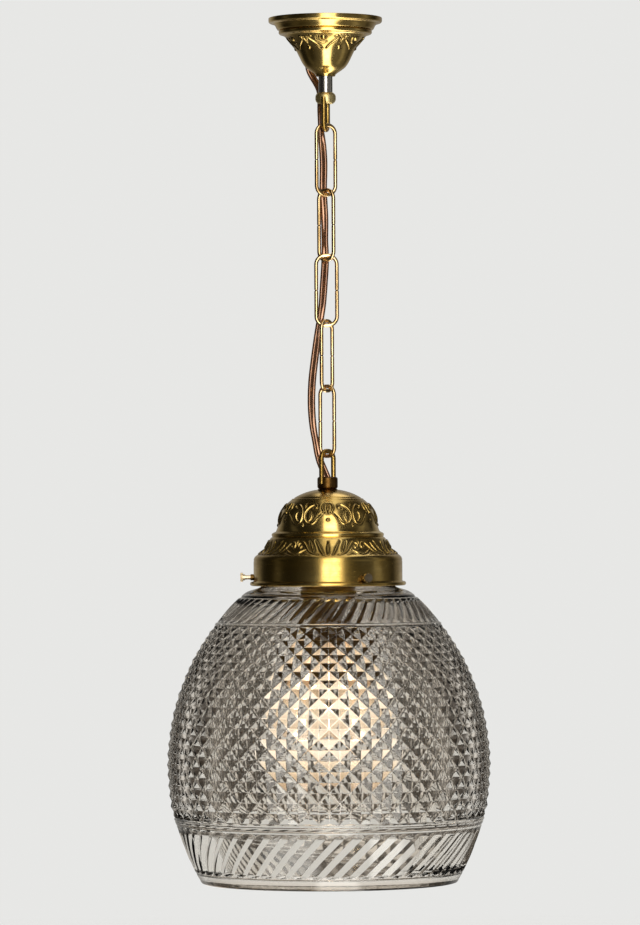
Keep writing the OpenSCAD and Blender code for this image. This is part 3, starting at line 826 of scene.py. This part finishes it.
def canopyOutline():
    # the outside, up from the neck: collar, hollow cone, bead, step and rolled rim
    cone = smoothLine([(11.2, -37.5), (13.6, -35.7), (15.2, -33.9), (16.9, -31.2), (18.9, -27.1),
                       (21, -22.9), (23.4, -19.2), (26.2, -15.9), (29, -13.2)], 4)
    outer = [(6.9, -41.5), (7.2, -40.4), (8.6, -39.2)] + [tuple(p) for p in cone]
    outer += arcPoints(31.6, -10.2, 1.7, 240, 420, 12)
    outer += [(33.8, -8.55), (34.3, -8.2), (34.9, -7.2), (35.7, -5.6), (36.7, -4.4)]
    outer += arcPoints(39.0, -2.2, 1.5, 258, 360, 8) + [(40.5, -0.3), (40.3, 0)]
    return metres(outer)


def makeCanopy():
    outer = canopyOutline()
    low = [p for p in outer if p[1] <= canopy["ornamentLow"]]
    fine = [p for p in outer if canopy["ornamentLow"] < p[1] < canopy["ornamentHigh"]]
    high = [p for p in outer if p[1] >= canopy["ornamentHigh"]]
    outside = low + resampled(fine, canopy["finePitch"]) + high
    across, up = canopy["insideShift"]
    inside = [(outer[i][0] + across * canopy["wall"], outer[i][1] + up * canopy["wall"])
              for i in canopy["insideFrom"]]
    inside[-1] = (outer[-1][0] - canopy["wall"], 0)
    piece = turnPiece("canopyCup", outside + inside[::-1], canopy["sides"])
    wall = wallTable(outside, canopy["ornamentLow"], canopy["ornamentHigh"])
    raiseOrnament(piece, canopyStrokes, wall, canopy["ornamentRadius"], canopy, canopy["ornamentTurn"])
    shadeSmooth(piece, canopy["sharpAngle"])
    dress(piece, "canopy_brass")
    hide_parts("canopy_shell")
    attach(piece, "canopy")
    print("canopy made")


makeCanopy()

# Boss: a rounded bead between the tube under the canopy and the chain's upper ring

boss = {
    "sides": 64,
    "round": 3.6 * mm,
    "roundParts": 8,
    "bore": 3.0 * mm,
    "sharpAngle": 40,
}


def makeBoss():
    low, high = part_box("upper_boss")
    inRound = (high.x - low.x) / 2 - boss["round"]
    outline = [(boss["bore"], low.z)]
    outline += arcPoints(inRound, low.z + boss["round"], boss["round"], -90, 0, boss["roundParts"])
    outline += arcPoints(inRound, high.z - boss["round"], boss["round"], 0, 90, boss["roundParts"])
    outline += [(boss["bore"], high.z)]
    piece = turnPiece("ringBoss", outline, boss["sides"])
    shadeSmooth(piece, boss["sharpAngle"])
    dress(piece, "cast_brass")
    piece.data.materials[0] = ownFinishes["upper_boss"]
    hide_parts("upper_boss")
    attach(piece, "ceiling_fixing")
    print("boss made")


makeBoss()

# Gallery: the pressed cap over the glass, with a scrolled dome, a bead and a leaf frieze

gallery = {
    "sides": 600,
    "finePitch": 0.42 * mm,
    "domeLow": -27.6 * mm,
    "domeHigh": -9.8 * mm,
    "domeRadius": 31.5 * mm,
    "friezeLow": -47.4 * mm,
    "friezeHigh": -35.2 * mm,
    "friezeRadius": 44.5 * mm,
    "relief": 0.85 * mm,
    "ground": 0.22 * mm,
    "sharpAngle": 70,
}
# the inside of the sheet, from the stem's hole to the band, in millimetres from the axis and the top
galleryInside = [
    (5.2, -1.2), (14, -2.9), (24.0, -7.9), (30.4, -14.2), (33.8, -23.8), (35.4, -30.6), (39.4, -35.6),
    (42.6, -41.4), (47.4, -46.6), (51.0, -49.6), (51.8, -52.0), (51.8, -64.6),
]
domeStrokes = [
    {"points": [(2.5, 11.4), (4.2, 9.7), (6.2, 7.3), (8.1, 4.5), (10.4, 2.7), (13.1, 3.2), (15.2, 5.9),
                (15.7, 9.4), (14.9, 12.7), (12.6, 15.8), (9.6, 17.6), (7.5, 16.7), (7.7, 14.9), (9.3, 14.5)],
     "width": 1.75, "taper": (0.35, 1.0, 0.65)},
    {"points": [(12.9, 4.4), (11.0, 6.5), (10.5, 9.4), (11.9, 11.9)], "width": 1.7, "taper": (0.4, 1.0, 0.2)},
    {"points": [(0.0, 19.0), (0.0, 14.4), (0.0, 9.6)], "width": 1.7, "mirror": False,
     "taper": (0.5, 1.0, 0.15)},
    {"points": [(1.3, 19.3), (3.3, 17.4), (3.7, 14.3), (2.4, 11.4), (0.8, 9.8)], "width": 1.55,
     "taper": (0.5, 1.0, 0.3)},
    {"points": [(0.0, 5.6)], "width": 2.1, "mirror": False},
    {"points": [(16.5, 18.8), (16.5, 14.6)], "width": 1.5, "taper": (0.5, 1.0, 0.2)},
    {"points": [(16.5, 1.2), (16.5, 3.2)], "width": 1.3, "taper": (0.9, 0.8, 0.3)},
]
friezeStrokes = [
    {"points": [(0, 2.0), (0, 8.0), (0, 14.2)], "width": 2.3, "mirror": False, "taper": (0.5, 1.0, 0.2)},
    {"points": [(3.0, 1.5), (4.6, 5.4), (6.4, 9.7), (9.0, 14.4)], "width": 2.0, "taper": (0.5, 1.0, 0.3)},
    {"points": [(6.6, 1.6), (10.2, 3.1), (13.3, 6.2), (15.8, 10.2), (18.7, 13.2), (21.6, 12.2), (21.9, 9.4),
                (20.0, 8.5), (19.2, 10.0)], "width": 1.9, "taper": (0.4, 1.0, 0.65)},
    {"points": [(9.8, 5.2), (11.0, 9.0), (13.2, 13.9)], "width": 1.8, "taper": (0.5, 1.0, 0.2)},
    {"points": [(15.4, 7.6), (18.2, 5.2), (20.6, 3.2), (23.3, 2.2)], "width": 1.8, "taper": (0.3, 1.0, 0.6)},
    {"points": [(12.6, 1.5), (15.4, 3.0), (18.0, 1.8)], "width": 1.5, "taper": (0.3, 1.0, 0.2)},
    {"points": [(23.3, 14.6), (23.3, 11.4)], "width": 1.7, "taper": (0.5, 1.0, 0.2)},
]


def domeArc(start, end):
    # the dome is half an ellipse, here from one angle to another in steps of 3 degrees
    wide, high = 35, 24
    return [(wide * math.cos(a), high * (math.sin(a) - 1)) for a in np.radians(range(start, end, 3))]


def galleryOutline():
    # the outside, from the rim's bead up over the band, frieze, ridge and dome to the stem's hole
    band = 53.0
    flare = smoothLine([(band, -50.5), (band - 0.9, -48.3), (band - 3, -46.6), (48.1, -45.3),
                        (46, -43.3), (44.2, -40.8), (42.6, -38), (41.2, -35.6)], 4)
    lip = arcPoints(band + 1.1, -67.4, 1.5, -200, 100, 18)
    outer = lip + [(band + 0.3, -65.7), (band, -65.2), (band, -51.6)]
    outer += [(band - 0.25, -51.3), (band - 0.25, -50.9)]
    outer += [tuple(p) for p in flare]
    outer += [(40.6, -34.9)] + arcPoints(38.3, -32.8, 1.7, -45, 70, 10)
    waist = smoothLine([(37, -30.3), (36, -27.8), (35, -24)], 5)
    outer += [tuple(p) for p in waist]
    outer += domeArc(3, 43)
    outer += [(25.6, -7.6), (25.3, -7.1), (24.6, -6.9), (24.2, -6.95), (23.9, -6.75)]
    outer += domeArc(48, 78)
    outer += [(7.4, -0.65), (6.6, 0.0), (5.2, 0.0)]
    return metres(outer, headZ)


def makeGallery():
    outer = galleryOutline()
    zones = {zone: (headZ + gallery[zone + "Low"], headZ + gallery[zone + "High"])
             for zone in ("dome", "frieze")}
    outside = []
    for p, q in zip(outer, outer[1:]):
        outside.append(p)
        if any(low < (p[1] + q[1]) / 2 < high for low, high in zones.values()):
            outside += resampled([p, q], gallery["finePitch"])[1:-1]
    outside.append(outer[-1])
    piece = turnPiece("galleryCap", outside + metres(galleryInside, headZ), gallery["sides"])
    for zone, strokes in (("dome", domeStrokes), ("frieze", friezeStrokes)):
        wall = wallTable(outside, *zones[zone])
        raiseOrnament(piece, strokes, wall, gallery[zone + "Radius"], gallery)
    shadeSmooth(piece, gallery["sharpAngle"])
    dress(piece, "gallery_brass")
    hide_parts("gallery")
    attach(piece, "lamp_head")
    print("gallery made,", len(piece.data.polygons), "faces")


makeGallery()

# Shade: a glass body with its cut pattern, each zone its own tube, bridged to the next

shade = {
    "wall": 5.0 * mm,
    "lineSteps": 12,  # between two points of the outline
    "insideEvery": 8,  # of the line's points, one is taken for the inside
    "shoulderEvery": 6,
    "shoulderFrom": 0.8 * mm,  # above the upper flutes
    "topStep": (0.7 * mm, 0.5 * mm),  # out and up, between the upper flutes and the shoulder
    "diamondSides": 96,
    "diamondRows": 21,  # half rows of pyramids
    "diamondDepth": 2.3 * mm,  # at the widest place
    "grooveTest": 0.4 * mm,  # a point this far inside the wall lies in a groove
    "edgeWidth": 0.28 * mm,  # the narrow flat ground along each groove and crest
    "edgeAngle": 14,
    "fluteCount": 52,
    "fluteParts": 8,
    "upperRows": 14,
    "lowerRows": 28,
    "upperDepth": 1.5 * mm,
    "lowerDepth": 2.3 * mm,
    "upperLean": 10.5,  # degrees that an upper flute turns on its way up
    "lowerLean": 17.0,
    "lowerTurn": -3.0,
    "upperRunOut": 0.16,  # part of a hollow flute's length in which it runs out, at each end
    "lowerRunOut": (0.05, 0.08),  # the same of a mitred one, at its foot and its top
    "hollow": 0.96,  # how far a hollow flute rises to the crest beside it
    "sharpAngle": 24,
    "facetDepth": 3.5 * mm,  # faces in the cut zone nearer to the outside than this are flat
}
# the shade's outside in millimetres: radius and height from the gallery's top, then where its zones end
shadeOutline = [
    (92.2, -277.6), (94.9, -272.8), (99.3, -264), (103.4, -254), (107, -244), (109.6, -236.2),
    (111.3, -231), (113, -225), (114.7, -209), (115.4, -193), (114.2, -178), (112, -164),
    (108.8, -151), (104.3, -138), (96.7, -120.8), (86, -103.5), (79.2, -94.9), (72.4, -86.4),
    (66.5, -80.2), (61.3, -75.6), (57.2, -72.8), (52.5, -71.3), (48.6, -70), (46.5, -67.4),
    (46.5, -63), (46.5, -59.6),
]
shadeZones = {"rimTop": -275.5, "lowerFluteLow": -271.5, "lowerFluteHigh": -239.6, "ringLow": -238.6,
              "diamondLow": -232.2, "diamondHigh": -97.2, "upperFluteLow": -94.2, "upperFluteHigh": -77.6}
# the ground rim and the neck's lip, as radius and height
shadeRim = [(87.8, -277.8), (88.3, -278.9), (89.2, -279.7), (90.1, -280), (91.0, -279.7), (91.6, -279.0)]
shadeLip = [(48.8, -58.2), (49.3, -57.7), (49.5, -57.2), (49.5, -54.4), (49.2, -53.8), (48.6, -53.5),
            (42.5, -53.5), (41.8, -53.8), (41.5, -54.5)]
# plain rings between the zones: height over a zone's end, and how far they stand out of the wall
footShape = [(-2.0, 0), (-1.0, 0.1), (1.0, 0.1), (2.2, 0.0), (2.8, -0.5), (3.4, 0.0)]
ringShape = [(0.0, -0.5), (0.5, 0.0), (1.2, 0.1), (2.6, 0.1), (3.2, -0.4), (3.6, 0.1), (4.0, 0.3),
             (4.5, 0.1), (5.0, -0.5), (5.9, -0.7)]
ribShape = [(0.35, -0.9), (0.7, 0.0), (1.1, 0.55), (1.7, 0.65), (2.2, 0.35), (2.6, -0.4)]

zoneEnds = {end: headZ + z * mm for end, z in shadeZones.items()}
shadeCurve = smoothLine(shadeOutline, shade["lineSteps"])
wallRadii, wallHeights = shadeCurve[:, 0] * mm, headZ + shadeCurve[:, 1] * mm
byHeight = np.argsort(wallHeights)


def wallRadius(height):
    return float(np.interp(height, wallHeights[byHeight], wallRadii[byHeight]))


def wallRings(end, shape):
    # an outline that follows the wall from a zone's end
    base = zoneEnds[end]
    return [(wallRadius(base + up * mm) + out * mm, base + up * mm) for up, out in shape]


def zoneRings(zone, rings, evenTurn=False):
    # rings from a zone's foot to its top: even steps along the wall, or even steps of its length over radius
    step = np.hypot(np.diff(wallRadii), np.diff(wallHeights))
    if evenTurn:
        step = step / ((wallRadii[1:] + wallRadii[:-1]) / 2)
    along = np.concatenate([[0], np.cumsum(step)])
    ends = [zoneEnds[zone + "Low"], zoneEnds[zone + "High"]]
    ends = np.interp(ends, wallHeights[byHeight], along[byHeight])
    at = np.linspace(ends[0], ends[1], rings)
    return np.interp(at, along, wallRadii), np.interp(at, along, wallHeights)


def diamondZone():
    # pyramids in staggered rows: every other point is pulled in, and each face is split along its groove
    sides, rows = shade["diamondSides"], shade["diamondRows"]
    radii, heights = zoneRings("diamond", rows + 1, evenTurn=True)
    tube = pullTube("diamondZone", sides, rows + 1)
    ring, side = np.meshgrid(np.arange(rows + 1), np.arange(sides), indexing="ij")
    groove = (ring + side) % 2 == 1
    depth = shade["diamondDepth"] * radii / radii.max()
    deep = np.where(groove, depth[:, None], 0.0)
    placeRings(tube, sides, radii[:, None] - deep, heights)
    shape = bmesh.new()
    shape.from_mesh(tube.data)
    inGroove = {point.index for point in shape.verts if math.hypot(point.co.x, point.co.y)
                < np.interp(point.co.z, heights, radii) - shade["grooveTest"]}
    for face in list(shape.faces):
        a, b, c, d = face.verts
        pair = (a, c) if a.index in inGroove and c.index in inGroove else (b, d)
        bmesh.utils.face_split(face, *pair)
    shape.to_mesh(tube.data)
    shape.free()
    bevel = tube.modifiers.new("groundEdges", "BEVEL")
    bevel.width = shade["edgeWidth"]
    bevel.segments = 1
    bevel.limit_method = "ANGLE"
    bevel.angle_limit = math.radians(shade["edgeAngle"])
    bpy.ops.object.modifier_apply(modifier=bevel.name)
    return tube


def fluteZone(end, rows, turn=0.0, mitred=False):
    # slanting flutes: hollow ones, or mitred ones with flat sides that run out to a point
    parts = shade["fluteParts"]
    sides = shade["fluteCount"] * parts
    radii, heights = zoneRings(end + "Flute", rows + 1)
    tube = pullTube(end + "Flutes", sides, rows + 1)
    run = np.linspace(0, 1, rows + 1)
    across = np.abs((np.arange(sides) % parts) / parts * 2 - 1)
    if mitred:
        atFoot, atTop = shade[end + "RunOut"]
        cut = np.clip(np.minimum(run / atFoot, (1 - run) / atTop), 0, 1)[:, None] - across
    else:
        reach = np.clip(np.minimum(run, 1 - run) / shade[end + "RunOut"], 0, 1)
        cut = np.sqrt(reach)[:, None] - shade["hollow"] * across ** 2
    deep = shade[end + "Depth"] * np.clip(cut, 0, 1)
    turns = np.radians(turn + shade[end + "Lean"] * run)
    placeRings(tube, sides, radii[:, None] - deep, heights, turns)
    return tube


def markEnds(tube, number):
    # each end of a zone gets its own number, so that it can be found again once the zones are joined
    shape = bmesh.new()
    shape.from_mesh(tube.data)
    layer = shape.verts.layers.int.new("seam")
    middle = sum(point.co.z for point in shape.verts) / len(shape.verts)
    for edge in shape.edges:
        if edge.is_boundary:
            for point in edge.verts:
                point[layer] = 2 * number + (2 if point.co.z > middle else 1)
    shape.to_mesh(tube.data)
    shape.free()


def bridgeZones(zones):
    # one body: each zone is bridged to the next, and the inside's top to the lip
    for number, tube in enumerate(zones):
        markEnds(tube, number)
    bpy.ops.object.select_all(action="DESELECT")
    for tube in zones:
        tube.select_set(True)
    body = zones[0]
    bpy.context.view_layer.objects.active = body
    bpy.ops.object.join()
    pairs = [(1, 3)] + [(2 * k + 2, 2 * k + 3) for k in range(1, len(zones) - 1)] + [(2, 2 * len(zones))]
    for pair in pairs:
        shape = bmesh.new()
        shape.from_mesh(body.data)
        layer = shape.verts.layers.int["seam"]
        for face in shape.faces:
            face.select = False
        for edge in shape.edges:
            edge.select = edge.is_boundary and all(point[layer] in pair for point in edge.verts)
        shape.to_mesh(body.data)
        shape.free()
        bpy.ops.object.mode_set(mode="EDIT")
        bpy.ops.mesh.bridge_edge_loops()
        bpy.ops.object.mode_set(mode="OBJECT")
    return body


def shadeBottom():
    # the inside, from the neck down, then the ground rim and the plain foot
    way = unit(np.stack([np.gradient(wallRadii), np.gradient(wallHeights)], 1))
    radii, heights = wallRadii - shade["wall"] * way[:, 1], wallHeights + shade["wall"] * way[:, 0]
    picked = list(range(0, len(radii), shade["insideEvery"])) + [len(radii) - 1]
    inside = [(float(radii[i]), float(heights[i])) for i in picked]
    return inside[::-1] + metres(shadeRim, headZ) + wallRings("rimTop", footShape)


def shadeTop():
    # from a small step over the upper flutes to the shoulder, neck and lip
    radii, heights = (values[::shade["shoulderEvery"]] for values in (wallRadii, wallHeights))
    start = zoneEnds["upperFluteHigh"]
    shoulder = [(float(r), float(h)) for r, h in zip(radii, heights) if h > start + shade["shoulderFrom"]]
    out, up = shade["topStep"]
    step = [(shoulder[0][0] + out, start + up)]
    return step + shoulder + metres(shadeLip, headZ)


def flattenFacets(body):
    # the pyramids' sides are ground flat, so they aren't shaded smooth
    for face in body.data.polygons:
        middle = face.center
        if zoneEnds["diamondLow"] < middle.z < zoneEnds["diamondHigh"]:
            if math.hypot(middle.x, middle.y) > wallRadius(middle.z) - shade["facetDepth"]:
                face.use_smooth = False


def makeShade():
    sides = shade["diamondSides"]
    bottom = turnOutline("shadeFoot", shadeBottom(), sides)
    lower = fluteZone("lower", shade["lowerRows"], shade["lowerTurn"], mitred=True)
    rings = turnOutline("shadeRings", wallRings("ringLow", ringShape), sides)
    diamonds = diamondZone()
    rib = turnOutline("shadeRib", wallRings("diamondHigh", ribShape), sides)
    upper = fluteZone("upper", shade["upperRows"])
    top = turnOutline("shadeTop", shadeTop(), sides)
    zones = [bottom, lower, rings, diamonds, rib, upper, top]
    print("shade zones:", [len(tube.data.polygons) for tube in zones])
    body = bridgeZones(zones)
    body.name = "glassShade"
    closeUp(body)
    shadeSmooth(body, shade["sharpAngle"])
    flattenFacets(body)
    dress(body, "cut_glass")
    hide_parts("glass_shade")
    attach(body, "shade")
    print("shade made,", len(body.data.polygons), "faces")


makeShade()

# Floor, lights and studio

studio = {
    "floorZ": -0.80,
    "floorRadius": 2.2,
    "floorSides": 96,
    "floorFade": (0.7, 2.024),  # the radii between which it fades out
    "pale": (0.80, 0.80, 0.785),
    "soft": (0.52, 0.515, 0.50),  # the even light on dull surfaces
    "metalTint": (1.0, 0.97, 0.90),  # of what metal reflects, with its brightnesses below
    "strip": 4.6,
    "stripAside": 0.09,
    "dim": 0.11,
    "sideStrips": 0.16,
    "behind": 0.34,
    "below": 0.05,
    "dark": 0.016,
    "most": 5.4,
    "panels": 8,  # pale panels round what glass shows
    "panelBright": 0.65,
    "panelDark": 0.035,
    "glassDark": (0.032, 0.023, 0.015),
    "glassPale": (1.0, 0.955, 0.885),
    "lampMiddle": (0, 0, -0.35),  # where both lights point
}
# power, side and place of each light
lightPanels = {
    "keyPanel": (22, 0.9, (-1.7, -1.6, 1.7)),
    "backPanel": (12, 1.0, (1.4, 1.9, 0.9)),
}


def makeFloor():
    # a pale disc that fades out at its edge and is clear from below
    bpy.ops.object.select_all(action="DESELECT")
    bpy.ops.mesh.primitive_circle_add(vertices=studio["floorSides"], radius=studio["floorRadius"],
                                      fill_type="NGON", location=(0, 0, studio["floorZ"]))
    floor = bpy.context.object
    floor.name = "floor"
    look = newFinish("paleFloor")
    out = look.node("VectorMath", {"operation": "LENGTH"}, {0: look.place}, output="Value")
    fade = out.above(*studio["floorFade"])
    behind = look.node("NewGeometry", output="Backfacing")
    clear = look.node("BsdfTransparent")
    look.surface(colour=studio["pale"], rough=0.9, specular=0.2)
    pale = Signal(look, look.shader.outputs[0])
    mix = look.node("MixShader", values={0: (fade + behind).clamped(), 1: pale, 2: clear})
    look.links.new(mix.socket, look.nodes["Material Output"].inputs["Surface"])
    floor.data.materials.append(look.owner)
    floor.visible_glossy = False


def makeWorld():
    # the camera sees a plain pale room. Metal sees a tall soft strip in front that runs on overhead, a dim
    # wall from there to the right, a narrow strip on each side, and the pale room behind. Glass sees pale
    # panels all round. x, y and z run from -1 to 1 with the direction, and each above() is a soft edge.
    world = bpy.data.worlds.new("studio")
    bpy.context.scene.world = world
    look = Finish(world, "Generated")
    x, y, z = (look.along(axis) for axis in "XYZ")
    level = abs(z)
    front = 1 - (y - level * 0.8).above(0.0, 0.3)
    overhead = 1 - z.above(0.5, 0.9) * 0.75
    strip = (1 - abs(x - studio["stripAside"]).above(0.18, 0.27)) * studio["strip"]
    dim = x.above(-0.75, -0.1) * (1 - z.above(0.3, 0.65) * 0.7) * studio["dim"]
    sides = (1 - abs(y).above(0.09, 0.15)) * abs(x).above(0.6, 0.7)
    sideStrips = sides * (x.above(-0.5, 0.5) * 0.65 + 0.35) * studio["sideStrips"]
    behind = y.above(0.55, 0.88) * (1 - level.above(0.5, 0.8)) * studio["behind"]
    below = (z * -1).above(0.45, 0.95) * studio["below"]
    metalSees = front * overhead * (strip + dim) + sideStrips + behind + below + studio["dark"]
    brightest = tuple(studio["most"] * c for c in studio["metalTint"])
    metal = look.mixed(metalSees * (1 / studio["most"]), (0, 0, 0), brightest)
    turn = look.maths("ARCTAN2", x, y)
    panels = look.maths("COSINE", turn * studio["panels"]) * 0.5 + 0.5
    ceiling = z.above(0.5, 0.6) * (1 - z.above(0.8, 0.92)) * 0.4
    walls = panels ** 3 * studio["panelBright"] + studio["panelDark"]
    glassSees = walls * (1 - level.above(0.14, 0.5) * 0.8 + ceiling)
    glass = look.mixed(glassSees, studio["glassDark"], studio["glassPale"])
    toCamera = look.node("LightPath", output="Is Camera Ray")
    through = look.node("LightPath", output="Is Transmission Ray")
    soft = look.node("LightPath", output="Is Diffuse Ray")
    bounced = look.mixed(soft, look.mixed(through, metal, glass), studio["soft"])
    shown = look.mixed(toCamera, bounced, studio["pale"])
    look.plug(look.nodes["Background"].inputs["Color"], shown)


def addLight(name, energy, size, location):
    data = bpy.data.lights.new(name, "AREA")
    data.energy = energy
    data.shape = "SQUARE"
    data.size = size
    light = bpy.data.objects.new(name, data)
    light.location = location
    light.rotation_mode = "QUATERNION"
    way = Vector(studio["lampMiddle"]) - light.location
    light.rotation_quaternion = way.to_track_quat("-Z", "Y")
    light.visible_camera = light.visible_glossy = light.visible_transmission = False
    bpy.context.scene.collection.objects.link(light)


def makeStudio():
    makeFloor()
    makeWorld()
    for name, (energy, size, location) in lightPanels.items():
        addLight(name, energy, size, location)
    print("studio made")


makeStudio()
